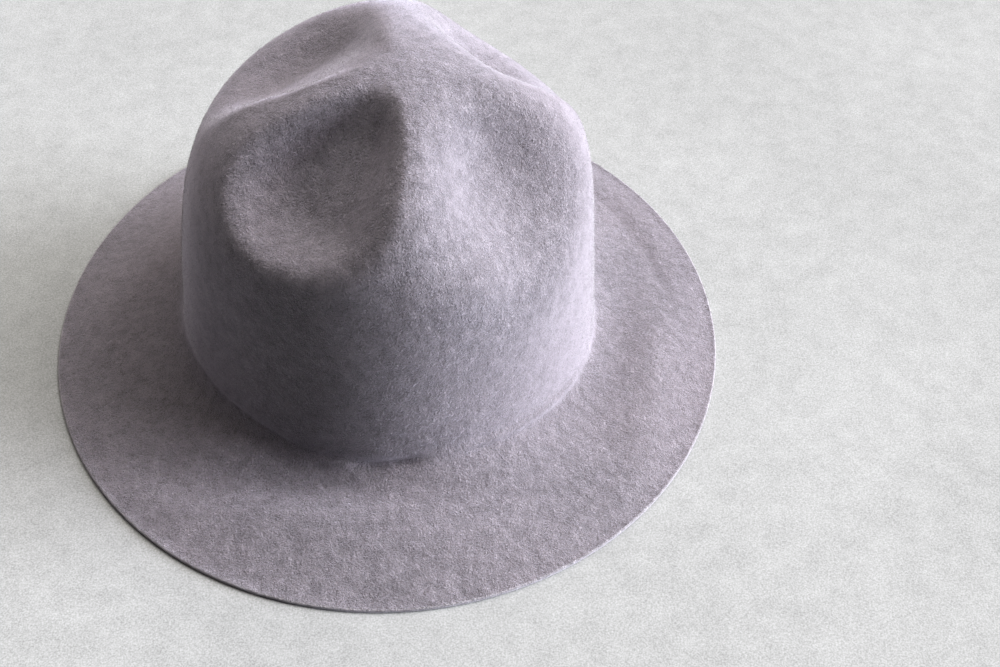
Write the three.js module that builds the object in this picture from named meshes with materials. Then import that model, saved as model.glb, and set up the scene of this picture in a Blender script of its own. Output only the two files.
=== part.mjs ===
// Mountain hat: one piece of wool felt, a tall crown with four pinched hollows on a broad sloping brim.
// Millimetres, +Z up. The front is -Y and the wearer's left is +X. The brim's cut edge rests on z = 0.
// Angles are degrees from the front, counter-clockwise seen from above, so 90 is +X and 180 is the back.
// "down" is a share of the way from the peak (0) to the break (1), where the crown turns into the brim.

import * as THREE from 'three';

// Driving sizes of the felt
const FELT = { thickness: 2, edgeFlat: 2, color: 0x8e8891, roughness: 0.95 };
const HEAD_OVAL = { halfWidth: 93.8, halfLength: 97.2 };
const BRIM_OVAL = { halfWidth: 152, halfLength: 157 };
const BREAK = { height: 20, rounding: 6 };
const BRIM = { arch: 0.88, ease: 0.03 };

// Dome that the crown is blocked to before it is creased
const DOME = {
  height: 112.5,
  peakHeight: 24,
  peakRounding: 0.44,
  squareness: 6.6,
  squarenessEndsAdded: 1,
  taper: 0.145,
  peakLeft: 6.5,
  peakFront: 6.5,
};

// Ridges between the hollows: direction, its change down the crown, and how round the crest is
const RIDGES = [
  { name: 'front', angle: 9.5, lean: -27, roundness: 0.59 },
  { name: 'left', angle: 90, lean: 48, roundness: 0.63 },
  { name: 'back', angle: 183, lean: 0, roundness: 1.03 },
  { name: 'right', angle: 287.5, lean: -55, roundness: 0.46 },
];
const LEAN = { pivot: 0.3, lowest: 0.5 };

// Hollows, each from the ridge of its own row to the next. It is deepest at its angle, and fades over
// "before" and "after" degrees to its two sides. Depths are millimetres
const HOLLOWS = [
  { name: 'frontLeft', depth: 23, angle: 52, before: 31, after: 22 },
  { name: 'backLeft', depth: 27.5, angle: 130.5, before: 35, after: 35 },
  { name: 'backRight', depth: 20.5, angle: 245, before: 48, after: 52.5 },
  { name: 'frontRight', depth: 25, angle: 334.5, before: 26.5, after: 39.5 },
];

// Rims of the hollows, in shares down the crown. A hollow is deepest at "down" and fades over "above"
// and "below". A slant lowers it with the angle, and a high edge makes its rim steep
const RIMS = {
  frontLeft: { down: 0.39, above: 0.13, below: 0.125, edge: 2.6, slant: -0.08 },
  backLeft: { down: 0.36, above: 0.105, below: 0.1, edge: 3, slant: 0 },
  backRight: { down: 0.285, above: 0.265, below: 0.12, edge: 4.2, slant: 0.07 },
  frontRight: { down: 0.345, above: 0.195, below: 0.13, edge: 6.5, slant: -0.04 },
};
const PEAK_KEPT = 0.24;
const PRESS_POINT_HEIGHT = 50;

// Soft rises and dents of the crown: middle, half-sizes in degrees and in shares down the crown, slant in
// degrees for each share down, and height in millimetres
const SWELLS = [
  { name: 'ridgeFoot', angle: 14, down: 0.42, halfAngle: 8.5, halfDown: 0.135, slant: -72, height: -1.55 },
  { name: 'leftWall', angle: 29, down: 0.535, halfAngle: 12.5, halfDown: 0.06, slant: 0, height: 4.6 },
  { name: 'rightRidge', angle: 284.5, down: 0.28, halfAngle: 12, halfDown: 0.055, slant: 28, height: -1.35 },
];

// Stretches where the break is rounder or tighter: middle and spread in degrees, millimetres added
const EASINGS = [
  { name: 'tightSide', angle: 79, spread: 30, added: -3 },
  { name: 'tightFront', angle: -6, spread: 25, added: -1 },
];

// Soft folds of the brim: direction and distance of the middle, half-sizes, turn from the way out in
// degrees, and rise in millimetres
const FOLDS = [
  { name: 'sideValley', angle: 81, distance: 94, halfLength: 79, halfWidth: 29.5, turn: 82, rise: -8.2 },
  { name: 'frontValley', angle: -18, distance: 107, halfLength: 56, halfWidth: 12, turn: 105, rise: -7.7 },
  { name: 'backValley', angle: 120, distance: 103, halfLength: 64, halfWidth: 26.5, turn: 64, rise: -4.4 },
  { name: 'sideRise', angle: 74, distance: 125, halfLength: 60, halfWidth: 14, turn: 101, rise: 2.3 },
];
const FOLD_FADE = { rest: 5, crown: 10 };

// Grid of the wall: columns round the hat, and rows of each stretch from the peak to the cut edge
const COLUMNS = 80;
const STRETCHES = [
  { part: 'crown', from: 0.035, to: 0.34, rows: 7 },
  { part: 'crown', from: 0.34, to: 0.62, rows: 9 },
  { part: 'crown', from: 0.62, to: 1, rows: 3 },
  { part: 'break', from: 0, to: 1, rows: 3 },
  { part: 'brim', from: 0, to: 0.4, rows: 4 },
  { part: 'brim', from: 0.4, to: 1, rows: 3 },
  { part: 'edge', from: 0, to: 1, rows: 1 },
];

// Difference of two angles in degrees, from -180 to 180
function turnBetween(angle, other) {
  return THREE.MathUtils.euclideanModulo(angle - other + 180, 360) - 180;
}

// Half-size of an oval in the direction of an angle
function ovalReach(oval, angle) {
  return 1 / Math.hypot(Math.sin(angle) / oval.halfWidth, Math.cos(angle) / oval.halfLength);
}

// Point at a distance from the axis in the direction of an angle
function outward(angle, distance, height) {
  return new THREE.Vector3(distance * Math.sin(angle), -distance * Math.cos(angle), height);
}

// How much of a hollow's depth a place between its two ridges takes, 0 on both and 1 in the middle
function shareBetween(fraction, roundness) {
  const wave = 1 - Math.exp(-Math.pow(Math.sin(Math.PI * fraction) / roundness, 2));
  return wave / (1 - Math.exp(-Math.pow(1 / roundness, 2)));
}

// How much of a hollow's depth is left at a place away from its deepest point
function shareAround(hollow, degrees, down) {
  const turn = turnBetween(degrees, hollow.angle);
  const across = turn / (turn < 0 ? hollow.before : hollow.after);
  const rim = RIMS[hollow.name];
  const fall = down - rim.down - (rim.slant * THREE.MathUtils.clamp(turn, -50, 50)) / 100;
  const along = fall / (fall < 0 ? rim.above : rim.below);
  const fade = Math.exp(-Math.pow(Math.hypot(across, along), rim.edge) / 2);
  return fade * (1 - Math.exp(-Math.pow(down / PEAK_KEPT, 2)));
}

// Height that the crown's rises and dents add at an angle in degrees and a place down the crown
function swellHeight(degrees, down) {
  return SWELLS.reduce((height, swell) => {
    const along = (down - swell.down) / swell.halfDown;
    const turn = turnBetween(degrees, swell.angle) - swell.slant * (down - swell.down);
    return height + swell.height * Math.exp(-along * along - Math.pow(turn / swell.halfAngle, 2));
  }, 0);
}

// Depth that the crown is pushed in at an angle (radians) and a place down the crown (0 to 1)
function pressedDepth(angle, down) {
  const lean = THREE.MathUtils.clamp(down, 0, LEAN.lowest) - LEAN.pivot;
  const degrees = THREE.MathUtils.radToDeg(angle);
  const starts = RIDGES.map((ridge) => ridge.angle + ridge.lean * lean);
  const turned = THREE.MathUtils.euclideanModulo(degrees - starts[0], 360) + starts[0];
  const ends = [...starts.slice(1), starts[0] + 360];
  const i = ends.findIndex((end) => turned < end);
  const next = (i + 1) % RIDGES.length;
  const fraction = (turned - starts[i]) / (ends[i] - starts[i]);
  const roundness = THREE.MathUtils.lerp(RIDGES[i].roundness, RIDGES[next].roundness, fraction);
  const hollow = HOLLOWS[i];
  const hollowed = hollow.depth * shareBetween(fraction, roundness) * shareAround(hollow, degrees, down);
  return hollowed - swellHeight(degrees, down);
}

// Blocked dome before creasing: a squared dome with a low cone on top that leans towards its peak
function domePoint(angle, down) {
  const reach = ovalReach(HEAD_OVAL, angle);
  const slope = (down * Math.PI) / 2;
  const power = DOME.squareness + DOME.squarenessEndsAdded * Math.cos(2 * angle);
  const side = Math.pow(Math.sin(slope) / reach, power);
  const top = Math.pow(Math.max(Math.cos(slope), 1e-6) / DOME.height, power);
  const radius = Math.pow(side + top, -1 / power);
  const out = (radius * Math.sin(slope)) / reach;
  const e = DOME.peakRounding;
  const cone = (Math.hypot(1, e) - Math.hypot(out, e)) / (Math.hypot(1, e) - e);
  const height = radius * Math.cos(slope) + DOME.peakHeight * cone;
  const rise = height / (DOME.height + DOME.peakHeight);
  const point = outward(angle, out * reach * (1 - DOME.taper * rise), BREAK.height + height);
  point.x += DOME.peakLeft * rise * rise;
  point.y -= DOME.peakFront * rise * rise;
  return point;
}

// Creased crown: the dome pushed in towards a point inside the head
function crownPoint(angle, down) {
  const point = domePoint(angle, down);
  const pressPoint = new THREE.Vector3(0, 0, BREAK.height + PRESS_POINT_HEIGHT);
  const inward = pressPoint.sub(point).normalize();
  return point.addScaledVector(inward, pressedDepth(angle, down));
}

// Share of the brim's way out where it gets level to rest on its edge
function levelShare(angle) {
  return 1 - FELT.edgeFlat / (ovalReach(BRIM_OVAL, angle) - ovalReach(HEAD_OVAL, angle));
}

// Brim from the break (0) to its edge (1)
function brimPoint(angle, out) {
  const distance = THREE.MathUtils.lerp(ovalReach(HEAD_OVAL, angle), ovalReach(BRIM_OVAL, angle), out);
  const drop = BREAK.height - FELT.thickness;
  const left = 1 - Math.pow(Math.min(out / levelShare(angle), 1), BRIM.arch);
  const eased = (left * left * (1 + BRIM.ease)) / (left + BRIM.ease);
  return outward(angle, distance, FELT.thickness + drop * eased);
}

// Height that the brim's folds add at a point. They fade where the brim rests and up the crown
function foldHeight(point) {
  const height = FOLDS.reduce((sum, fold) => {
    const middle = outward(THREE.MathUtils.degToRad(fold.angle), fold.distance, 0);
    const turn = THREE.MathUtils.degToRad(fold.angle + fold.turn);
    const [x, y] = [point.x - middle.x, point.y - middle.y];
    const along = (x * Math.sin(turn) - y * Math.cos(turn)) / fold.halfLength;
    const across = (x * Math.cos(turn) + y * Math.sin(turn)) / fold.halfWidth;
    return sum + fold.rise * Math.exp(-along * along - across * across);
  }, 0);
  const offRest = THREE.MathUtils.clamp((point.z - FELT.thickness) / FOLD_FADE.rest, 0, 1);
  const upCrown = THREE.MathUtils.clamp((point.z - BREAK.height) / FOLD_FADE.crown, 0, 1);
  return height * offRest * (1 - upCrown);
}

// Place down the crown where the rounding of the break starts, and place out on the brim where it ends
function roundingLimits(angle) {
  const rounding = EASINGS.reduce((sum, easing) => {
    const away = turnBetween(THREE.MathUtils.radToDeg(angle), easing.angle) / easing.spread;
    return sum + easing.added * Math.exp(-(away * away) / 2);
  }, BREAK.rounding);
  const inner = ovalReach(HEAD_OVAL, angle);
  return {
    down: 1 - (2 / Math.PI) * Math.atan(rounding / inner),
    out: rounding / (ovalReach(BRIM_OVAL, angle) - inner),
  };
}

// Point of the felt's outer face in one stretch, a share of the way along it, before the brim is folded
function smoothPoint(stretch, share, angle) {
  const limits = roundingLimits(angle);
  const along = THREE.MathUtils.lerp(stretch.from, stretch.to, share);
  if (stretch.part === 'crown') {
    return crownPoint(angle, along * limits.down);
  }
  if (stretch.part === 'brim') {
    return brimPoint(angle, THREE.MathUtils.lerp(limits.out, levelShare(angle), along));
  }
  if (stretch.part === 'edge') {
    return brimPoint(angle, THREE.MathUtils.lerp(levelShare(angle), 1, along));
  }
  const corner = outward(angle, ovalReach(HEAD_OVAL, angle), BREAK.height);
  const bend = new THREE.QuadraticBezierCurve3(
    crownPoint(angle, limits.down), corner, brimPoint(angle, limits.out));
  return bend.getPoint(along);
}

// Point of the felt's outer face
function outerPoint(stretch, share, angle) {
  const point = smoothPoint(stretch, share, angle);
  point.z += foldHeight(point);
  return point;
}

// Outer face as rings from the peak to the cut edge, with the peak itself first
function outerRings() {
  const rings = [[domePoint(0, 0)]];
  for (const stretch of STRETCHES) {
    const first = rings.length === 1 ? 0 : 1;
    for (let row = first; row <= stretch.rows; row += 1) {
      const ring = [];
      for (let column = 0; column < COLUMNS; column += 1) {
        const angle = (2 * Math.PI * column) / COLUMNS;
        ring.push(outerPoint(stretch, row / stretch.rows, angle));
      }
      rings.push(ring);
    }
  }
  return rings;
}

// Triangles of the outer face. Each quad between four points is split along its shorter diagonal
function faceTriangles(points) {
  const ringCount = 1 + (points.length - 1) / COLUMNS;
  const at = (ring, column) => 1 + (ring - 1) * COLUMNS + (column % COLUMNS);
  const triangles = [];
  for (let column = 0; column < COLUMNS; column += 1) {
    triangles.push([0, at(1, column), at(1, column + 1)]);
    for (let ring = 1; ring < ringCount - 1; ring += 1) {
      const [a, b] = [at(ring, column), at(ring + 1, column)];
      const [c, d] = [at(ring + 1, column + 1), at(ring, column + 1)];
      const straight = points[a].distanceTo(points[c]) < points[b].distanceTo(points[d]);
      triangles.push(straight ? [a, b, c] : [a, b, d]);
      triangles.push(straight ? [a, c, d] : [b, c, d]);
    }
  }
  return triangles;
}

// Closed shell from points and triangles
function shellGeometry(points, triangles) {
  const geometry = new THREE.BufferGeometry();
  geometry.setFromPoints(points);
  geometry.setIndex(triangles.flat());
  geometry.computeVertexNormals();
  return geometry;
}

// Felt of even thickness: the outer face, the same face moved in, and the cut edge between them
function feltGeometry() {
  const outer = outerRings().flat();
  const outerFace = faceTriangles(outer);
  const normals = shellGeometry(outer, outerFace).getAttribute('normal');
  const restsFrom = outer.length - 2 * COLUMNS;
  const inner = outer.map((point, i) => {
    const normal = new THREE.Vector3().fromBufferAttribute(normals, i);
    const inside = point.clone().addScaledVector(normal, -FELT.thickness);
    return i < restsFrom ? inside : new THREE.Vector3(point.x, point.y, 0);
  });
  const turned = (triangle) => triangle.map((index) => index + outer.length).reverse();
  const innerFace = outerFace.map(turned);
  const cutEdge = [];
  for (let column = 0; column < COLUMNS; column += 1) {
    const a = outer.length - COLUMNS + column;
    const b = outer.length - COLUMNS + ((column + 1) % COLUMNS);
    cutEdge.push([a, a + outer.length, b + outer.length]);
    cutEdge.push([a, b + outer.length, b]);
  }
  return shellGeometry([...outer, ...inner], [...outerFace, ...innerFace, ...cutEdge]);
}

const felt = new THREE.MeshStandardMaterial({
  name: 'felt',
  color: FELT.color,
  roughness: FELT.roughness,
  metalness: 0,
});

const feltBody = new THREE.Mesh(feltGeometry(), felt);
feltBody.name = 'felt_body';

const hat = new THREE.Group();
hat.name = 'mountain_hat';
hat.add(feltBody);

export default hat;
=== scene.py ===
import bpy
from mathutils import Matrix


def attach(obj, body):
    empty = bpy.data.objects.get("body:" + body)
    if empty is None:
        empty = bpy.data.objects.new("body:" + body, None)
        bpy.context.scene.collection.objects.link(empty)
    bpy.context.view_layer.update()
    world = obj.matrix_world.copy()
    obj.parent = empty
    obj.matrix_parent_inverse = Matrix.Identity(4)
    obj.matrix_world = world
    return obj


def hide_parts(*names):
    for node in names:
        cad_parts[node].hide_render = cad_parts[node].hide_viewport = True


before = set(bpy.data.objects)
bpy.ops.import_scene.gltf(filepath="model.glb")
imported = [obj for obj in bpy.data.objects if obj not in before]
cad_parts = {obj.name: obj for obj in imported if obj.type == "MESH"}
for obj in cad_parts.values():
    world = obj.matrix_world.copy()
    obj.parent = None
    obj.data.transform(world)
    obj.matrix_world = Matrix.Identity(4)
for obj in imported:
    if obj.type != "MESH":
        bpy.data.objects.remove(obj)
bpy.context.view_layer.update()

import logging
import math
from dataclasses import dataclass, field
from enum import Enum

import bpy
import numpy as np
from mathutils import Matrix, Vector, noise

Array = np.ndarray
Color = tuple[float, float, float]

log = logging.getLogger("mountain_hat")

MM = 0.001

# Smallest base of a power, and the middle of a grain that runs from 0 to 1
TINY = 1e-6
MIDDLE_TONE = 0.5


# Shape of the felt


@dataclass(frozen=True)
class Oval:
    """Oval seen from above, by its half-sizes in millimetres."""

    half_width: float
    half_length: float

    def reach(self, angle: Array) -> Array:
        """Half-size in the direction of an angle in radians from the front."""
        return 1 / np.hypot(np.sin(angle) / self.half_width, np.cos(angle) / self.half_length)


@dataclass(frozen=True)
class Dome:
    """Dome that the crown is blocked to before it is creased.

    Attributes:
        height: Height above the break without the peak, in millimetres.
        peak_height: Height that the peak's rounded cone adds, in millimetres.
        peak_rounding: Rounding of the cone's tip, as a share of the head's oval.
        squareness: Power of the dome's outline. A high one makes a flat top and upright walls.
        squareness_ends_added: Power added at the front and back, and taken off at the sides.
        taper: Share by which the crown is narrower at the peak than at the break.
        peak_left: How far the peak lies to the wearer's left, in millimetres.
        peak_front: How far the peak lies to the front, in millimetres.
    """

    height: float = 112.5
    peak_height: float = 24
    peak_rounding: float = 0.44
    squareness: float = 6.6
    squareness_ends_added: float = 1
    taper: float = 0.145
    peak_left: float = 6.5
    peak_front: float = 6.5


@dataclass(frozen=True)
class Ridge:
    """Ridge between two hollows: direction in degrees, its change down the crown, crest roundness."""

    name: str
    angle: float
    lean: float
    roundness: float


@dataclass(frozen=True)
class Hollow:
    """Hollow pinched into the crown.

    Attributes:
        name: Where it is on the crown.
        depth: Depth in millimetres.
        angle: Direction of its deepest point in degrees.
        before: Spread in degrees towards smaller angles.
        after: Spread in degrees towards larger angles.
        down: Share of the way down the crown where it is deepest.
        above: Spread upwards, as a share of the way down the crown.
        below: Spread downwards, as such a share.
        edge: Power of its outline. A high one makes its rim steep.
        slant: Share that it gets lower with the angle.
    """

    name: str
    depth: float
    angle: float
    before: float
    after: float
    down: float
    above: float
    below: float
    edge: float
    slant: float


@dataclass(frozen=True)
class Swell:
    """Soft rise or dent of the crown.

    Attributes:
        name: Where it is on the crown.
        angle: Direction of its middle in degrees.
        down: Share of the way down the crown where its middle is.
        half_angle: Half its width in degrees.
        half_down: Half its length, as a share of the way down the crown.
        slant: Change of its direction in degrees over the whole way down.
        height: Height in millimetres, below 0 in a dent.
    """

    name: str
    angle: float
    down: float
    half_angle: float
    half_down: float
    slant: float
    height: float


@dataclass(frozen=True)
class Easing:
    """Rounder or tighter stretch of the break: direction and spread in degrees, millimetres added."""

    name: str
    angle: float
    spread: float
    added: float


@dataclass(frozen=True)
class Break:
    """Line where the crown turns into the brim, with the stretches that were pressed tighter."""

    height: float = 20
    rounding: float = 6
    easings: tuple[Easing, ...] = (
        Easing("tight_side", 79, 30, -3),
        Easing("tight_front", -6, 25, -1),
    )


@dataclass(frozen=True)
class Fold:
    """Small fold or dent of the brim: its middle, its half-sizes, its turn and its rise in millimetres."""

    name: str
    angle: float
    distance: float
    half_length: float
    half_width: float
    turn: float
    rise: float


class Stretch(Enum):
    """Stretches of the felt's outer face, from the peak to the cut edge."""

    CROWN = "crown"
    BREAK = "break"
    BRIM = "brim"
    EDGE = "edge"


def turn_between(angle: Array, other: float) -> Array:
    """Difference of two angles in degrees, from -180 to 180."""
    return (angle - other + 180) % 360 - 180


def outward(angle: Array, distance: Array, height: Array) -> Array:
    """Points at a distance from the axis in the direction of an angle."""
    return np.stack([distance * np.sin(angle), -distance * np.cos(angle), height + 0 * angle], axis=-1)


def unit(vectors: Array) -> Array:
    """The same directions, each one unit long."""
    return vectors / np.linalg.norm(vectors, axis=-1, keepdims=True)


@dataclass(frozen=True)
class HatForm:
    """Outer face of the hat in millimetres. Angles are radians from the front, towards the wearer's left.

    Attributes:
        thickness: Thickness of the felt.
        edge_flat: Width of the brim's last stretch, which lies level.
        head: Oval of the break.
        brim: Oval of the cut edge.
        brim_arch: Power of the brim's slope. Below 1 it falls fastest at the break.
        brim_ease: Share of the brim's fall over which it runs out level.
        turn: The break.
        dome: The crown before it is creased.
        peak_kept: Share of the way down the crown over which the hollows fade out towards the peak.
        press_point_height: Height above the break of the point that the hollows are pushed towards.
        lean_pivot: Share of the way down the crown where the ridges have their stated directions.
        lean_lowest: Share of the way down the crown below which the ridges run straight down.
        slant_reach: Turn in degrees up to which a hollow's slant goes on.
        slant_span: Turn in degrees over which a hollow gets lower by its slant.
        ridges: The four ridges, by their direction.
        hollows: The four hollows, each after the ridge of the same place in the list.
        swells: The crown's soft rises and dents.
        folds: The brim's folds.
        fold_fade_rest: Height above the rest over which the folds set in.
        fold_fade_crown: Height above the break over which the folds fade out.
    """

    thickness: float = 2
    edge_flat: float = 2
    head: Oval = Oval(93.8, 97.2)
    brim: Oval = Oval(152, 157)
    brim_arch: float = 0.88
    brim_ease: float = 0.03
    turn: Break = Break()
    dome: Dome = Dome()
    peak_kept: float = 0.24
    press_point_height: float = 50
    lean_pivot: float = 0.3
    lean_lowest: float = 0.5
    slant_reach: float = 50
    slant_span: float = 100
    ridges: tuple[Ridge, ...] = (
        Ridge("front", 9.5, -27, 0.59),
        Ridge("left", 90, 48, 0.63),
        Ridge("back", 183, 0, 1.03),
        Ridge("right", 287.5, -55, 0.46),
    )
    hollows: tuple[Hollow, ...] = (
        Hollow("front_left", 23, 52, 31, 22, 0.39, 0.13, 0.125, 2.6, -0.08),
        Hollow("back_left", 27.5, 130.5, 35, 35, 0.36, 0.105, 0.1, 3, 0),
        Hollow("back_right", 20.5, 245, 48, 52.5, 0.285, 0.265, 0.12, 4.2, 0.07),
        Hollow("front_right", 25, 334.5, 26.5, 39.5, 0.345, 0.195, 0.13, 6.5, -0.04),
    )
    swells: tuple[Swell, ...] = (
        Swell("ridge_foot", 14, 0.42, 8.5, 0.135, -72, -1.55),
        Swell("left_wall", 29, 0.535, 12.5, 0.06, 0, 4.6),
        Swell("right_ridge", 284.5, 0.28, 12, 0.055, 28, -1.35),
        Swell("ridge_crest", 14, 0.365, 4, 0.155, -32, 0.4),
        Swell("small_rise", 334, 0.45, 7.5, 0.03, -18, 0.8),
        Swell("small_dent", 328, 0.28, 13, 0.04, 0, 0.7),
    )
    folds: tuple[Fold, ...] = (
        Fold("side_valley", 81, 94, 79, 29.5, 82, -8.2),
        Fold("front_valley", -18, 107, 56, 12, 105, -7.7),
        Fold("back_valley", 120, 103, 64, 26.5, 64, -4.4),
        Fold("side_rise", 74, 125, 60, 14, 101, 2.3),
    )
    fold_fade_rest: float = 5
    fold_fade_crown: float = 10

    def dome_point(self, angle: Array, down: Array) -> Array:
        """Finds points of the blocked dome.

        Args:
            angle: Directions in radians.
            down: Shares of the way from the peak to the break.

        Returns:
            Points in millimetres, with x, y and z last.
        """
        dome = self.dome
        reach = self.head.reach(angle)
        slope = down * math.pi / 2
        power = dome.squareness + dome.squareness_ends_added * np.cos(2 * angle)
        side = (np.maximum(np.sin(slope), TINY) / reach) ** power
        top = (np.maximum(np.cos(slope), TINY) / dome.height) ** power
        radius = (side + top) ** (-1 / power)
        out = radius * np.sin(slope) / reach
        tip = dome.peak_rounding
        cone = (math.hypot(1, tip) - np.hypot(out, tip)) / (math.hypot(1, tip) - tip)
        height = radius * np.cos(slope) + dome.peak_height * cone
        rise = height / (dome.height + dome.peak_height)
        points = outward(angle, out * reach * (1 - dome.taper * rise), self.turn.height + height)
        points[..., 0] += dome.peak_left * rise**2
        points[..., 1] -= dome.peak_front * rise**2
        return points

    def hollow_depth(self, angle: Array, down: Array) -> Array:
        """Finds how far the crown is pushed in.

        Args:
            angle: Directions in radians.
            down: Shares of the way from the peak to the break.

        Returns:
            Depths in millimetres.
        """
        lean = np.clip(down, 0, self.lean_lowest) - self.lean_pivot
        degrees = np.degrees(angle)
        starts = [ridge.angle + ridge.lean * lean for ridge in self.ridges]
        turned = (degrees - starts[0]) % 360 + starts[0]
        depth = np.zeros(np.broadcast(angle, down).shape)
        for i, hollow in enumerate(self.hollows):
            following = (i + 1) % len(self.ridges)
            end = starts[following] + (360 if following == 0 else 0)
            inside = (turned >= starts[i]) & (turned < end)
            fraction = np.clip((turned - starts[i]) / (end - starts[i]), 0, 1)
            first, last = self.ridges[i].roundness, self.ridges[following].roundness
            roundness = first + (last - first) * fraction
            wave = 1 - np.exp(-((np.sin(math.pi * fraction) / roundness) ** 2))
            between = wave / (1 - np.exp(-((1 / roundness) ** 2)))
            around = self._share_around(hollow, degrees, down)
            depth = np.where(inside, hollow.depth * between * around, depth)
        return depth - self._swell_height(degrees, down)

    def _swell_height(self, degrees: Array, down: Array) -> Array:
        """Adds up the crown's soft rises and dents.

        Args:
            degrees: Directions in degrees.
            down: Shares of the way from the peak to the break.

        Returns:
            Heights in millimetres, below 0 in a dent.
        """
        height = 0.0
        for swell in self.swells:
            along = (down - swell.down) / swell.half_down
            turn = turn_between(degrees, swell.angle) - swell.slant * (down - swell.down)
            height = height + swell.height * np.exp(-(along**2) - (turn / swell.half_angle) ** 2)
        return height

    def _share_around(self, hollow: Hollow, degrees: Array, down: Array) -> Array:
        """Finds the share of a hollow's depth that is left away from its deepest point.

        Args:
            hollow: The hollow.
            degrees: Directions in degrees.
            down: Shares of the way from the peak to the break.

        Returns:
            Shares from 0 to 1.
        """
        turn = turn_between(degrees, hollow.angle)
        across = turn / np.where(turn < 0, hollow.before, hollow.after)
        lowered = hollow.slant * np.clip(turn, -self.slant_reach, self.slant_reach) / self.slant_span
        fall = down - hollow.down - lowered
        along = fall / np.where(fall < 0, hollow.above, hollow.below)
        fade = np.exp(-(np.hypot(across, along) ** hollow.edge) / 2)
        return fade * (1 - np.exp(-((down / self.peak_kept) ** 2)))

    def crown_point(self, angle: Array, down: Array) -> Array:
        """Finds points of the creased crown: the dome pushed in towards a point inside the head.

        Args:
            angle: Directions in radians.
            down: Shares of the way from the peak to the break.

        Returns:
            Points in millimetres, with x, y and z last.
        """
        points = self.dome_point(angle, down)
        inward = unit(np.array([0, 0, self.turn.height + self.press_point_height]) - points)
        return points + inward * self.hollow_depth(angle, down)[..., None]

    def level_share(self, angle: Array) -> Array:
        """Share of the brim's way out where it gets level to rest on its edge."""
        return 1 - self.edge_flat / (self.brim.reach(angle) - self.head.reach(angle))

    def brim_point(self, angle: Array, out: Array) -> Array:
        """Finds points of the brim.

        Args:
            angle: Directions in radians.
            out: Shares of the way from the break to the edge.

        Returns:
            Points in millimetres, with x, y and z last.
        """
        inner, outer = self.head.reach(angle), self.brim.reach(angle)
        travelled = np.minimum(out / self.level_share(angle), 1)
        drop = self.turn.height - self.thickness
        height_share = 1 - travelled**self.brim_arch
        eased = height_share**2 * (1 + self.brim_ease) / (height_share + self.brim_ease)
        height = self.thickness + drop * eased
        return outward(angle, inner + (outer - inner) * out, height)

    def rounding_limits(self, angle: Array) -> tuple[Array, Array]:
        """Finds where the break's rounding starts and ends.

        Args:
            angle: Directions in radians.

        Returns:
            Shares of the way down the crown where it starts, and out along the brim where it ends.
        """
        rounding = self.turn.rounding + np.zeros_like(angle)
        for easing in self.turn.easings:
            away = turn_between(np.degrees(angle), easing.angle) / easing.spread
            rounding = rounding + easing.added * np.exp(-(away**2) / 2)
        inner = self.head.reach(angle)
        down = 1 - (2 / math.pi) * np.arctan(rounding / inner)
        return down, rounding / (self.brim.reach(angle) - inner)

    def fold_height(self, points: Array) -> Array:
        """Adds up the brim's folds.

        Args:
            points: Points in millimetres, with x, y and z last.

        Returns:
            Heights in millimetres that the folds add at the points.
        """
        height = np.zeros(points.shape[:-1])
        for fold in self.folds:
            a = math.radians(fold.angle)
            offset = points[..., :2] - np.array([math.sin(a), -math.cos(a)]) * fold.distance
            t = a + math.radians(fold.turn)
            along = offset @ np.array([math.sin(t), -math.cos(t)]) / fold.half_length
            across = offset @ np.array([math.cos(t), math.sin(t)]) / fold.half_width
            height += fold.rise * np.exp(-(along**2) - across**2)
        above_rest = np.clip((points[..., 2] - self.thickness) / self.fold_fade_rest, 0, 1)
        above_break = np.clip((points[..., 2] - self.turn.height) / self.fold_fade_crown, 0, 1)
        return height * above_rest * (1 - above_break)

    def outer_point(self, stretch: Stretch, share: Array, angle: Array) -> Array:
        """Finds points of the outer face, with the brim's folds.

        Args:
            stretch: Stretch of the face.
            share: Shares of the way along the stretch.
            angle: Directions in radians.

        Returns:
            Points in millimetres, with x, y and z last.
        """
        points = self.smooth_point(stretch, share, angle)
        points[..., 2] += self.fold_height(points)
        return points

    def smooth_point(self, stretch: Stretch, share: Array, angle: Array) -> Array:
        """Finds points of the outer face before the brim is folded.

        Args:
            stretch: Stretch of the face.
            share: Shares of the way along the stretch.
            angle: Directions in radians.

        Returns:
            Points in millimetres, with x, y and z last.
        """
        down, out = self.rounding_limits(angle)
        if stretch is Stretch.CROWN:
            return self.crown_point(angle, share * down)
        level = self.level_share(angle)
        if stretch is Stretch.BRIM:
            return self.brim_point(angle, out + (level - out) * share)
        if stretch is Stretch.EDGE:
            return self.brim_point(angle, level + (1 - level) * share)
        start, end = self.crown_point(angle, down), self.brim_point(angle, out)
        corner = outward(angle, self.head.reach(angle), self.turn.height)
        share = share[..., None]
        return start * (1 - share) ** 2 + corner * 2 * share * (1 - share) + end * share**2


@dataclass
class Shell:
    """Closed surface of the felt as points, faces and a mark for the points of the cut edge."""

    points: Array
    faces: list[tuple[int, ...]]
    cut: Array


@dataclass(frozen=True)
class Rows:
    """A run of rows of the felt's grid."""

    stretch: Stretch
    count: int


@dataclass(frozen=True)
class Lump:
    """Soft unevenness of one size, with its swing, in millimetres."""

    size: float
    swing: float


@dataclass(frozen=True)
class BreakLine:
    """Crisp crease or roll along the break.

    Attributes:
        name: Where it is.
        angle: Direction of its middle in degrees.
        spread: How far it reaches to each side, in degrees.
        past_middle: How far it lies past the middle of the break, towards the edge, in millimetres.
        half_width: Half its width in millimetres.
        height: Height of the roll in millimetres, below 0 in a crease.
    """

    name: str
    angle: float
    spread: float
    past_middle: float
    half_width: float
    height: float


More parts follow.
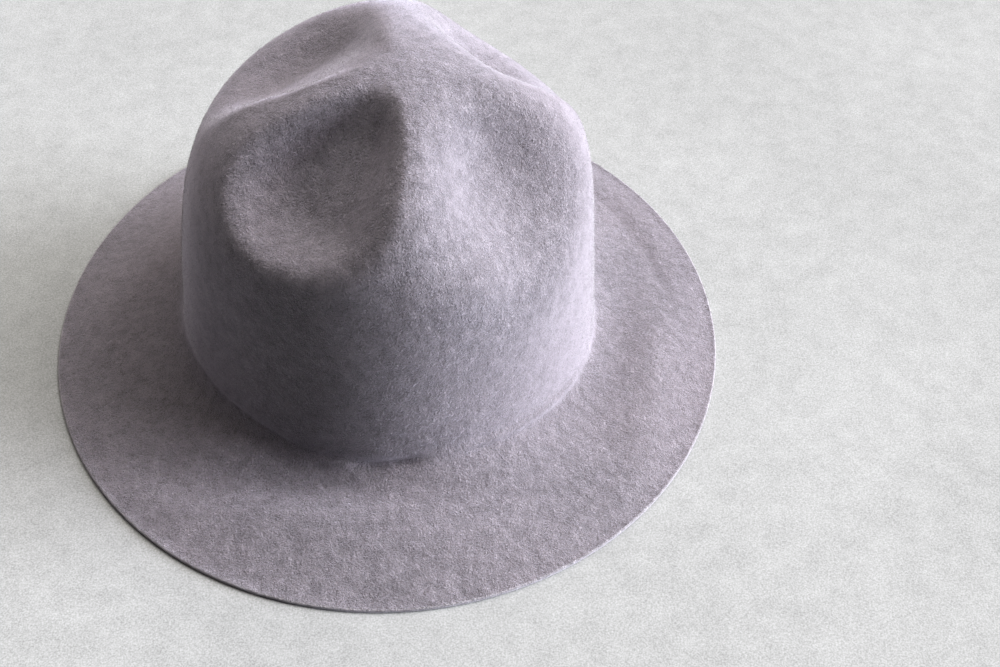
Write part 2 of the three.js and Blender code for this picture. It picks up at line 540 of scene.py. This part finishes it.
@dataclass
class FeltGrid:
    """Turns the hat's form into a fine closed shell with an outer face, an inner face and a cut edge.

    Attributes:
        form: The hat's form.
        columns: Number of points in a ring.
        runs: Rows of the grid, from the peak to the edge.
        first_share: Share of the crown's stretch before the rows start, around the peak.
        unevenness: Lumps that hand-blocked felt keeps.
        lines: Crisp lines along the break.
        level_fade: Height above the rest over which the unevenness sets in, in millimetres.
        edge_rounding: Rounding of the cut edge in millimetres.
        edge_turns: Turns of the rounding's rings in degrees.
        rings: Rings of the outer face in millimetres, once it is built.
        normals: Unit normals of those rings.
    """

    form: HatForm
    columns: int = 300
    runs: tuple[Rows, ...] = (
        Rows(Stretch.CROWN, 84),
        Rows(Stretch.BREAK, 12),
        Rows(Stretch.BRIM, 34),
        Rows(Stretch.EDGE, 2),
    )
    first_share: float = 0.012
    unevenness: tuple[Lump, ...] = (Lump(38, 0.3), Lump(15, 0.16))
    lines: tuple[BreakLine, ...] = (
        BreakLine("front_crease", -25, 32, -4, 1.5, -0.5),
        BreakLine("front_tuck", 3, 8, -1, 2.5, -2.4),
        BreakLine("side_roll", 42, 24, -2, 2, 1.2),
    )
    level_fade: float = 3
    edge_rounding: float = 0.8
    edge_turns: tuple[float, ...] = (30, 60, 90)
    rings: Array = field(init=False)
    normals: Array = field(init=False)

    def outer_rings(self) -> Array:
        """Makes the rings of the outer face, without the peak.

        Returns:
            Points in millimetres, by row and column.
        """
        angles = np.arange(self.columns) * 2 * math.pi / self.columns
        rings = []
        for run in self.runs:
            for row in range(1, run.count + 1):
                share = row / run.count
                if run.stretch is Stretch.CROWN:
                    share = self.first_share + (1 - self.first_share) * share
                rings.append(self.form.outer_point(run.stretch, np.full_like(angles, share), angles))
        return np.array(rings)

    def ring_normals(self, rings: Array) -> Array:
        """Finds the rings' normals.

        Args:
            rings: Points in millimetres, by row and column.

        Returns:
            Unit normals, facing out.
        """
        around = np.roll(rings, -1, axis=1) - np.roll(rings, 1, axis=1)
        along = np.gradient(rings, axis=0)
        return unit(np.cross(along, around))

    def lumps(self, rings: Array) -> Array:
        """Finds the soft unevenness that hand-blocked felt keeps.

        Args:
            rings: Points in millimetres, by row and column.

        Returns:
            Heights in millimetres, by row and column.
        """
        flat = rings.reshape(-1, 3)
        height = np.zeros(len(flat))
        for lump in self.unevenness:
            height += lump.swing * np.array([noise.noise(Vector(p / lump.size)) for p in flat])
        return height.reshape(rings.shape[:2])

    def line_height(self, rings: Array) -> Array:
        """Adds up the crisp lines along the break.

        Args:
            rings: Points in millimetres, by row and column.

        Returns:
            Heights in millimetres, by row and column.
        """
        steps = np.linalg.norm(np.diff(rings, axis=0), axis=-1)
        travelled = np.concatenate([np.zeros((1, self.columns)), np.cumsum(steps, axis=0)])
        middle = self.runs[0].count + self.runs[1].count // 2 - 1
        past = travelled - travelled[middle]
        degrees = np.arange(self.columns) * 360 / self.columns
        height = np.zeros(past.shape)
        for line in self.lines:
            around = turn_between(degrees, line.angle) / line.spread
            across = (past - line.past_middle) / line.half_width
            height += line.height * np.exp(-(across**2) - around**4)
        return height

    def build(self) -> Shell:
        """Builds the shell, and keeps the outer face's rings and normals.

        Returns:
            Shell of the felt in metres.
        """
        form = self.form
        rings = self.outer_rings()
        off_rest = np.clip((rings[..., 2] - form.thickness) / self.level_fade, 0, 1)
        relief = self.lumps(rings) * off_rest + self.line_height(rings)
        self.rings = rings + self.ring_normals(rings) * relief[..., None]
        self.normals = self.ring_normals(self.rings)
        outer = self.rings.copy()
        inner = self.rings - self.normals * form.thickness
        # The level edge rests flat, so its underside is straight below its top
        edge_rows = self.runs[-1].count + 1
        inner[-edge_rows:] = outer[-edge_rows:]
        inner[-edge_rows:, :, 2] = 0
        rounded = self._round_cut(outer, inner)
        peak = form.dome_point(np.zeros(1), np.zeros(1))
        peak_inside = peak - np.array([[0, 0, form.thickness]])
        loops = np.concatenate([outer, rounded, inner[::-1]])
        points = np.concatenate([peak, loops.reshape(-1, 3), peak_inside]) * MM
        cut = np.zeros(len(points))
        first = 1 + len(outer) * self.columns
        cut[first : first + len(rounded) * self.columns] = 1
        return Shell(points, self._faces(len(loops)), cut)

    def _round_cut(self, outer: Array, inner: Array) -> Array:
        """Rounds the cut edge, and pulls the last ring of each face back to where the rounding starts.

        Args:
            outer: Rings of the outer face, whose last one is moved.
            inner: Rings of the inner face, whose last one is moved.

        Returns:
            Rings of the rounding, from the outer face to the inner one.
        """
        up = np.array([0, 0, 1.0])
        out = unit(outer[-1] - outer[-2]) * self.edge_rounding
        turns = [math.radians(turn) for turn in self.edge_turns]
        rounded = []
        for ring, towards, order in ((outer[-1], -up, turns), (inner[-1], up, turns[::-1])):
            for turn in order:
                drop = towards * self.edge_rounding * (1 - math.cos(turn))
                rounded.append(ring + out * (math.sin(turn) - 1) + drop)
        outer[-1] -= out
        inner[-1] -= out
        return np.array(rounded)

    def _faces(self, loops: int) -> list[tuple[int, ...]]:
        """Joins the loops, with a fan at the peak's outside and inside.

        Args:
            loops: Number of rings of points.

        Returns:
            Faces as numbers of points.
        """
        faces = []
        last = 1 + loops * self.columns
        for column in range(self.columns):
            after = (column + 1) % self.columns
            faces.append((0, 1 + column, 1 + after))
            for loop in range(loops - 1):
                a = 1 + loop * self.columns
                b = a + self.columns
                faces.append((a + column, b + column, b + after, a + after))
            a = 1 + (loops - 1) * self.columns
            faces.append((a + after, a + column, last))
        return faces


# Shader maths


class Wire:
    """A socket of a node tree. Arithmetic on it adds Math nodes."""

    def __init__(self, sheet: "NodeSheet", socket: bpy.types.NodeSocket) -> None:
        """Keeps the socket and the sheet that it is on."""
        self.sheet = sheet
        self.socket = socket

    def _math(self, operation: str, *values: "Wire | float") -> "Wire":
        """Math node of these values."""
        inputs = dict(enumerate(values))
        return self.sheet.add("ShaderNodeMath", {"operation": operation}, inputs)["Value"]

    def __add__(self, other: "Wire | float") -> "Wire":
        """Sum."""
        return self._math("ADD", self, other)

    __radd__ = __add__

    def __sub__(self, other: "Wire | float") -> "Wire":
        """Difference."""
        return self._math("SUBTRACT", self, other)

    def __rsub__(self, other: "Wire | float") -> "Wire":
        """Difference from a number."""
        return self._math("SUBTRACT", other, self)

    def __mul__(self, other: "Wire | float") -> "Wire":
        """Product."""
        return self._math("MULTIPLY", self, other)

    __rmul__ = __mul__

    def __abs__(self) -> "Wire":
        """The value without its sign."""
        return self._math("ABSOLUTE", self)

    def swing(self, strength: float) -> "Wire":
        """How far the value is from the middle of 0 to 1, times a strength."""
        return (self - MIDDLE_TONE) * strength

    def kept(self) -> "Wire":
        """The value kept between 0 and 1."""
        return self.sheet.add("ShaderNodeClamp", {}, {"Value": self})["Result"]

    def between(self, low: float, high: float) -> "Wire":
        """The value's stretch from low to high, spread over 0 to 1."""
        inputs = {"Value": self, "From Min": low, "From Max": high}
        return self.sheet.add("ShaderNodeMapRange", {"clamp": True}, inputs)["Result"]


class Placed:
    """A node that was placed on a sheet. Its outputs are read by name."""

    def __init__(self, sheet: "NodeSheet", node: bpy.types.Node) -> None:
        """Keeps the node and its sheet."""
        self.sheet = sheet
        self.node = node

    def __getitem__(self, name: str) -> Wire:
        """Finds an output.

        Args:
            name: The output's name or identifier.

        Returns:
            The output's socket.
        """
        for socket in self.node.outputs:
            if name in (socket.identifier, socket.name) and socket.enabled:
                return Wire(self.sheet, socket)
        raise KeyError(name)


@dataclass(frozen=True)
class Grain:
    """Layer of soft random grain.

    Attributes:
        size: Width of its features in metres.
        detail: Number of finer layers in it.
        roughness: Strength of each finer layer against the one before.
        warp: How far it is bent by a pattern of its own.
        tone: What it adds to the surface's tone.
        height: What it adds to the surface's height.
    """

    size: float
    detail: float
    roughness: float
    warp: float = 0
    tone: float = 0
    height: float = 0


class NodeSheet:
    """Node tree of one material, filled through a single method."""

    def __init__(self, name: str) -> None:
        """Makes an empty material.

        Args:
            name: The material's name.
        """
        self.material = bpy.data.materials.new(name)
        self.material.use_nodes = True
        self.tree = self.material.node_tree
        self.tree.nodes.clear()

    def add(self, kind: str, settings: dict[str, object], inputs: dict[str | int, object]) -> Placed:
        """Places one node.

        Args:
            kind: Blender's name of the node type.
            settings: Values of the node's own settings.
            inputs: Values or wires by the name, identifier or number of their socket.

        Returns:
            The placed node.
        """
        node = self.tree.nodes.new(kind)
        for key, value in settings.items():
            setattr(node, key, value)
        for key, value in inputs.items():
            socket = self._input(node, key)
            if isinstance(value, Wire):
                self.tree.links.new(value.socket, socket)
            else:
                socket.default_value = value
        return Placed(self, node)

    def _input(self, node: bpy.types.Node, key: str | int) -> bpy.types.NodeSocket:
        """Finds an input.

        Args:
            node: The node.
            key: The input's number, identifier or name.

        Returns:
            The input's socket.
        """
        if isinstance(key, int):
            return node.inputs[key]
        for socket in node.inputs:
            if key == socket.identifier:
                return socket
        return node.inputs[key]

    def mix(self, factor: Wire, low: Wire | Color, high: Wire | Color) -> Wire:
        """Mixes two colours.

        Args:
            factor: Share of the second colour.
            low: Colour at 0.
            high: Colour at 1.

        Returns:
            The mixed colour.
        """
        ends = {"A_Color": low, "B_Color": high}
        values = {k: v if isinstance(v, Wire) else (*v, 1) for k, v in ends.items()}
        settings = {"data_type": "RGBA"}
        return self.add("ShaderNodeMix", settings, {"Factor_Float": factor, **values})["Result_Color"]

    def place(self) -> Wire:
        """Place on the object in metres."""
        return self.add("ShaderNodeTexCoord", {}, {})["Object"]

    def grain(self, place: Wire, layer: Grain) -> Wire:
        """Adds one layer of grain.

        Args:
            place: Place on the object in metres.
            layer: Size and kind of the grain.

        Returns:
            Soft random value from 0 to 1.
        """
        scale = {0: place, 1: (1 / layer.size,) * 3}
        scaled = self.add("ShaderNodeVectorMath", {"operation": "MULTIPLY"}, scale)["Vector"]
        inputs = {
            "Vector": scaled,
            "Scale": 1.0,
            "Detail": layer.detail,
            "Roughness": layer.roughness,
            "Distortion": layer.warp,
        }
        return self.add("ShaderNodeTexNoise", {"noise_dimensions": "3D"}, inputs)["Fac"]

    def surface(self, inputs: dict[str | int, object]) -> Wire:
        """Principled surface with these inputs."""
        return self.add("ShaderNodeBsdfPrincipled", {}, inputs)["BSDF"]

    def close(self, surface: Wire) -> bpy.types.Material:
        """Wires the surface to the output and gives the finished material."""
        self.add("ShaderNodeOutputMaterial", {}, {"Surface": surface})
        return self.material


@dataclass(frozen=True)
class FeltFinish:
    """Brushed wool felt: matted fibres, soft clouds of tone, a velvety sheen and a paler cut edge.

    Attributes:
        dark: Darkest wool.
        light: Lightest wool.
        rose: Wool of the rosy patches.
        cut: Colour that the cut edge is mixed with.
        cut_share: Share of that colour.
        fuzz: Finest grain.
        strands: Grain whose middle line makes the matted strands.
        strand_width: Width of a strand, as a share of its grain's swing.
        mottle: Grain of the felt's small tufts.
        clouds: Soft clouds of tone.
        patches: Grain of the rosy patches.
        rosy_from_to: Values of the patches' grain between which the rose sets in.
        rosy_share: Share of the rose in the middle of a patch.
        bump_height: Height of the grain's relief in metres.
        roughness: Roughness of the wool.
        gloss: Specular level of the wool.
        sheen: Sheen of the matted face.
        outline_sheen: Sheen of the loose fuzz that glows along an outline.
        outline_from_to: Values of facing away between which the fuzz takes over.
        sheen_roughness: Roughness of the sheen.
        sheen_tint: Colour of the sheen.
    """

    dark: Color = (0.104, 0.095, 0.104)
    light: Color = (0.244, 0.223, 0.247)
    rose: Color = (0.218, 0.188, 0.205)
    cut: Color = (0.46, 0.44, 0.46)
    cut_share: float = 0.4
    fuzz: Grain = Grain(0.8 * MM, 2, 0.6, tone=1.2, height=1)
    strands: Grain = Grain(1.25 * MM, 1, 0.5, warp=1.4, tone=0.45, height=0.5)
    strand_width: float = 0.09
    mottle: Grain = Grain(5 * MM, 2, 0.5, tone=1.3, height=2.4)
    clouds: Grain = Grain(22 * MM, 2, 0.5, tone=0.3)
    patches: Grain = Grain(110 * MM, 1, 0.5)
    rosy_from_to: tuple[float, float] = (0.45, 0.75)
    rosy_share: float = 0.45
    bump_height: float = 0.8 * MM
    roughness: float = 0.95
    gloss: float = 0.1
    sheen: float = 0.456
    outline_sheen: float = 0.5
    outline_from_to: tuple[float, float] = (0.35, 0.85)
    sheen_roughness: float = 0.437
    sheen_tint: Color = (0.9, 0.85, 1)

    def build(self, name: str) -> bpy.types.Material:
        """Makes the felt's material.

        Args:
            name: The material's name.

        Returns:
            The material.
        """
        sheet = NodeSheet(name)
        place = sheet.place()
        fuzz = sheet.grain(place, self.fuzz)
        strands = self._strands(sheet, place)
        mottle = sheet.grain(place, self.mottle)
        clouds = sheet.grain(place, self.clouds)
        fine = fuzz.swing(self.fuzz.tone) + strands.swing(self.strands.tone)
        tone = MIDDLE_TONE + fine + mottle.swing(self.mottle.tone) + clouds.swing(self.clouds.tone)
        wool = sheet.mix(tone.kept(), self.dark, self.light)
        rosy = sheet.grain(place, self.patches).between(*self.rosy_from_to)
        wool = sheet.mix(rosy * self.rosy_share, wool, self.rose)
        edge = sheet.add("ShaderNodeAttribute", {"attribute_name": "cut"}, {})["Fac"]
        wool = sheet.mix(edge * self.cut_share, wool, self.cut)
        height = fuzz * self.fuzz.height + strands * self.strands.height + mottle * self.mottle.height
        relief = {"Strength": 1.0, "Distance": self.bump_height, "Height": height}
        bump = sheet.add("ShaderNodeBump", {}, relief)["Normal"]
        matted = self._wool(sheet, wool, self.sheen, {"Normal": bump})
        fuzzy = self._wool(sheet, wool, self.outline_sheen, {})
        facing = sheet.add("ShaderNodeLayerWeight", {}, {"Blend": 0.5})["Facing"]
        fuzz_share = facing.between(*self.outline_from_to)
        felt = sheet.add("ShaderNodeMixShader", {}, {0: fuzz_share, 1: matted, 2: fuzzy})["Shader"]
        return sheet.close(felt)

    def _wool(self, sheet: NodeSheet, color: Wire, sheen: float, extra: dict[str | int, object]) -> Wire:
        """Makes a wool surface: the matted face, or the loose fuzz that glows along an outline.

        Args:
            sheet: The material's nodes.
            color: Colour of the wool.
            sheen: Strength of the sheen.
            extra: Further inputs of the surface.

        Returns:
            The surface.
        """
        inputs = {
            "Base Color": color,
            "Roughness": self.roughness,
            "Specular IOR Level": self.gloss,
            "Sheen Weight": sheen,
            "Sheen Roughness": self.sheen_roughness,
            "Sheen Tint": (*self.sheen_tint, 1),
        }
        return sheet.surface({**inputs, **extra})

    def _strands(self, sheet: NodeSheet, place: Wire) -> Wire:
        """Matted strands that wander in all directions, where a warped grain crosses its middle."""
        off_middle = abs(sheet.grain(place, self.strands) - MIDDLE_TONE)
        return 1 - off_middle.between(0, self.strand_width)


@dataclass(frozen=True)
class FibreFinish:
    """Wool of one tone, for loose fibres."""

    color: Color
    roughness: float = 0.8
    gloss: float = 0.2
    sheen: float = 0.4
    sheen_roughness: float = 0.5

    def build(self, name: str) -> bpy.types.Material:
        """Makes the fibres' material.

        Args:
            name: The material's name.

        Returns:
            The material.
        """
        sheet = NodeSheet(name)
        inputs = {
            "Base Color": (*self.color, 1),
            "Roughness": self.roughness,
            "Specular IOR Level": self.gloss,
            "Sheen Weight": self.sheen,
            "Sheen Roughness": self.sheen_roughness,
        }
        return sheet.close(sheet.surface(inputs))


@dataclass(frozen=True)
class FloorFinish:
    """Plain pale floor with a fine grain and faint clouds of tone."""

    dark: Color = (0.177, 0.182, 0.179)
    light: Color = (0.352, 0.361, 0.357)
    clouds: Grain = Grain(150 * MM, 3, 0.5, tone=0.4)
    mottle: Grain = Grain(12 * MM, 2, 0.6, tone=0.45)
    grit: Grain = Grain(0.7 * MM, 1, 0.5, tone=1.5)
    roughness: float = 1
    gloss: float = 0.05

    def build(self, name: str) -> bpy.types.Material:
        """Makes the floor's material.

        Args:
            name: The material's name.

        Returns:
            The material.
        """
        sheet = NodeSheet(name)
        place = sheet.place()
        tone = MIDDLE_TONE
        for layer in (self.clouds, self.mottle, self.grit):
            tone = tone + sheet.grain(place, layer).swing(layer.tone)
        pale = sheet.mix(tone.kept(), self.dark, self.light)
        inputs = {"Base Color": pale, "Roughness": self.roughness, "Specular IOR Level": self.gloss}
        return sheet.close(sheet.surface(inputs))


# Pieces of the scene


def add_object(name: str, data: bpy.types.ID) -> bpy.types.Object:
    """Adds an object to the scene.

    Args:
        name: The object's name.
        data: Its mesh, light or camera.

    Returns:
        The object.
    """
    made = bpy.data.objects.new(name, data)
    bpy.context.scene.collection.objects.link(made)
    return made


def mesh_piece(name: str, points: Array, faces: list[tuple[int, ...]]) -> bpy.types.Object:
    """Adds a smooth mesh to the scene.

    Args:
        name: Name of the object and its mesh.
        points: Points in metres.
        faces: Faces as numbers of points.

    Returns:
        The object.
    """
    mesh = bpy.data.meshes.new(name)
    mesh.from_pydata(points.tolist(), [], faces)
    mesh.shade_smooth()
    mesh.update()
    return add_object(name, mesh)


@dataclass(frozen=True)
class NapTone:
    """Fibres of one tone. Lengths are in millimetres, and lift is how far the tips stand off the felt."""

    name: str
    color: Color
    count: int = 41000
    length: float = 0.85
    thickness: float = 0.12
    lift: float = 0.6


@dataclass
class Nap:
    """Loose wool fibres on the felt's outer face. Each is a closed three-sided spike, rooted in the felt.

    Attributes:
        rings: Rings of the felt's outer face in millimetres.
        normals: Unit normals of the rings.
        root_depth: How deep the fibres are rooted, in millimetres.
        root_turns: Places of the root's three corners round the fibre, in degrees.
        length_spread: Shortest and longest fibre, as shares of the length.
        lift_spread: Least and most lift, as shares of it before they are squared.
        seed: Seed of the random draws.
        tones: The fibres' tones.
    """

    rings: Array
    normals: Array
    root_depth: float = 0.2
    root_turns: tuple[float, ...] = (90, 210, 330)
    length_spread: tuple[float, float] = (0.6, 1.4)
    lift_spread: tuple[float, float] = (0.2, 1)
    seed: int = 11
    tones: tuple[NapTone, ...] = (
        NapTone("nap_pale", (0.287, 0.269, 0.298)),
        NapTone("nap_light", (0.219, 0.203, 0.225)),
        NapTone("nap_rose", (0.193, 0.175, 0.19)),
        NapTone("nap_middle", (0.151, 0.139, 0.154)),
        NapTone("nap_dark", (0.078, 0.072, 0.08)),
    )

    def build(self) -> None:
        """Builds one piece of joined fibres for each tone."""
        random = np.random.default_rng(self.seed)
        areas = self._quad_areas()
        for tone in self.tones:
            points = self._fibres(tone, random, areas)
            piece = mesh_piece(tone.name, points * MM, self._faces(tone.count))
            piece.data.materials.append(FibreFinish(tone.color).build(tone.name + "_wool"))
            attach(piece, "root")
            log.info("%s: %d fibres", tone.name, tone.count)

    def _quad_areas(self) -> Array:
        """Measures the quad after each grid point.

        Returns:
            Areas as shares of them all, in the order of rows.
        """
        down = np.diff(self.rings, axis=0)
        around = np.roll(self.rings, -1, axis=1)[:-1] - self.rings[:-1]
        area = np.linalg.norm(np.cross(down, around), axis=-1).ravel()
        return area / area.sum()

    def _fibres(self, tone: NapTone, random: np.random.Generator, areas: Array) -> Array:
        """Makes all fibres of one tone.

        Args:
            tone: The fibres' tone, number and size.
            random: Source of the fibres' places and directions.
            areas: Shares of the felt's quads, which decide where fibres fall.

        Returns:
            Points in millimetres with x, y and z last: each fibre's root triangle and its tip.
        """
        columns = self.rings.shape[1]
        quad = random.choice(len(areas), tone.count, p=areas)
        row, column = quad // columns, quad % columns
        after = (column + 1) % columns
        u, v = random.random((2, tone.count, 1))
        corners = [(row, column), (row, after), (row + 1, column), (row + 1, after)]
        shares = [(1 - u) * (1 - v), u * (1 - v), (1 - u) * v, u * v]
        base = sum(share * self.rings[corner] for share, corner in zip(shares, corners))
        out = unit(sum(share * self.normals[corner] for share, corner in zip(shares, corners)))
        along = unit(np.cross(out, random.normal(size=(tone.count, 3))))
        aside = np.cross(out, along)
        size = tone.length * random.uniform(*self.length_spread, (tone.count, 1))
        rise = tone.lift * random.uniform(*self.lift_spread, (tone.count, 1)) ** 2
        root = base - out * self.root_depth
        points = []
        for turn in self.root_turns:
            a = math.radians(turn)
            points.append(root + tone.thickness * (math.cos(a) * aside + math.sin(a) * out))
        points.append(base + along * size + out * rise)
        return np.stack(points, axis=1).reshape(-1, 3)

    def _faces(self, count: int) -> list[tuple[int, ...]]:
        """Makes the faces of a number of fibres.

        Args:
            count: Number of fibres.

        Returns:
            Faces as numbers of points, facing out.
        """
        fibre = np.array([(0, 2, 1), (0, 1, 3), (1, 2, 3), (2, 0, 3)])
        faces = fibre[None] + 4 * np.arange(count)[:, None, None]
        return [tuple(face) for face in faces.reshape(-1, 3).tolist()]


@dataclass
class Felt:
    """The hat's felt: one closed shell with its finish, and its nap of loose fibres."""

    form: HatForm
    finish: FeltFinish = FeltFinish()

    def build(self) -> None:
        """Builds the shell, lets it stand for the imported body, and lays the nap on it."""
        grid = FeltGrid(self.form)
        shell = grid.build()
        piece = mesh_piece("felt_shell", shell.points, shell.faces)
        mark = piece.data.attributes.new("cut", "FLOAT", "POINT")
        mark.data.foreach_set("value", shell.cut)
        piece.data.materials.append(self.finish.build("brushed_felt"))
        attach(piece, "root")
        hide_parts("felt_body")
        log.info("felt shell: %d points, %d faces", len(shell.points), len(shell.faces))
        Nap(grid.rings, grid.normals).build()


@dataclass(frozen=True)
class Lamp:
    """Soft window light, so far away that it has one direction.

    Attributes:
        name: The lamp's name.
        azimuth: Direction that it comes from, in degrees from image right towards the back.
        elevation: Its height in degrees.
        strength: Its strength.
        width: How wide it looks from the hat, in degrees.
        tint: Its colour.
    """

    name: str
    azimuth: float
    elevation: float
    strength: float
    width: float
    tint: Color = (1, 1, 1)


@dataclass
class Studio:
    """Floor, soft lights and the camera at the photograph's viewing angle.

    Attributes:
        azimuth: The camera's direction in degrees from the front, towards the wearer's left.
        elevation: Its height in degrees.
        distance: Its distance from the middle of the rest, in metres.
        roll: Its roll in degrees.
        lens: Its focal length in millimetres.
        sensor: Its sensor's width in millimetres.
        frame_width: Width of the picture in pixels.
        aside: How far the middle of the rest lies from the picture's middle, right and down, in pixels.
        backdrop: Colour beyond the floor.
        floor_half: Half the floor's width in metres.
        floor_gap: Gap between the floor and the brim's edge, in metres.
        lamps: The soft lights.
    """

    azimuth: float = 5.66
    elevation: float = 46.91
    distance: float = 0.6559
    roll: float = 2
    lens: float = 50
    sensor: float = 36
    frame_width: int = 1000
    aside: tuple[float, float] = (-107.97, -10.99)
    backdrop: Color = (0.7, 0.7, 0.69)
    floor_half: float = 60
    floor_gap: float = 0.15 * MM
    lamps: tuple[Lamp, ...] = (
        Lamp("window_low", -3, 12, 10.1, 39, (0.907, 1.014, 1.079)),
        Lamp("window_front", -5, 23, 1.9, 40, (1.133, 0.821, 1.046)),
        Lamp("window_high", 5, 47.5, 4.05, 40),
        Lamp("ceiling", 69, 64, 2.55, 60, (1.077, 1, 0.923)),
        Lamp("behind", 100, 15, 0.27, 60),
        Lamp("behind_left", 160, 12, 0.25, 60, (1.108, 0.877, 1.015)),
    )

    def build(self) -> None:
        """Builds the floor, the lights, the backdrop and the camera."""
        self._floor()
        for lamp in self.lamps:
            self._lamp(lamp)
        self._backdrop()
        self._camera()
        bpy.context.scene.view_settings.view_transform = "Standard"
        log.info("studio: floor, %d lights and camera", len(self.lamps))

    def _floor(self) -> None:
        """Wide flat floor just under the brim's edge."""
        half, low = self.floor_half, -self.floor_gap
        corners = np.array([(-half, -half, low), (half, -half, low), (half, half, low), (-half, half, low)])
        floor = mesh_piece("floor", corners, [(0, 1, 2, 3)])
        floor.data.materials.append(FloorFinish().build("pale_floor"))

    def _lamp(self, lamp: Lamp) -> None:
        """Adds a distant lamp as wide as a soft window.

        Args:
            lamp: The lamp's direction, strength, width and colour.
        """
        data = bpy.data.lights.new(lamp.name, "SUN")
        data.angle = math.radians(lamp.width)
        data.energy = lamp.strength
        data.color = lamp.tint
        a, e = math.radians(lamp.azimuth + self.azimuth), math.radians(lamp.elevation)
        towards = Vector((math.cos(a) * math.cos(e), math.sin(a) * math.cos(e), math.sin(e)))
        light = add_object(lamp.name, data)
        light.rotation_mode = "QUATERNION"
        light.rotation_quaternion = towards.to_track_quat("Z", "Y")

    def _backdrop(self) -> None:
        """Pale even backdrop beyond the floor, which gives no light of its own."""
        world = bpy.data.worlds.new("backdrop")
        world.use_nodes = True
        background = world.node_tree.nodes["Background"]
        background.inputs["Color"].default_value = (*self.backdrop, 1)
        world.cycles_visibility.diffuse = False
        world.cycles_visibility.glossy = False
        bpy.context.scene.world = world

    def _camera(self) -> None:
        """Camera that looks past the hat's middle, slightly rolled."""
        a, e = math.radians(self.azimuth), math.radians(self.elevation)
        back = Vector((math.sin(a) * math.cos(e), -math.cos(a) * math.cos(e), math.sin(e)))
        right = (-back).cross(Vector((0, 0, 1))).normalized()
        up = right.cross(-back)
        focal = self.frame_width * self.lens / self.sensor
        target = Vector((self.aside[0] / focal, -self.aside[1] / focal, 1)).normalized()
        swing = Vector((0, 0, 1)).rotation_difference(target).to_matrix()
        spin = Matrix.Rotation(math.radians(self.roll), 3, "Z")
        axes = swing @ spin @ Matrix((right, up, -back))
        turned = Matrix((axes[0], axes[1], -axes[2])).transposed().to_4x4()
        data = bpy.data.cameras.new("camera")
        data.sensor_width = self.sensor
        data.lens = self.lens
        camera = add_object("camera", data)
        camera.matrix_world = Matrix.Translation(back * self.distance) @ turned
        bpy.context.scene.camera = camera


def main() -> None:
    """Builds the hat and its studio."""
    logging.basicConfig(level=logging.INFO, format="%(name)s: %(message)s")
    Felt(HatForm()).build()
    Studio().build()


if __name__ == "__main__":
    main()
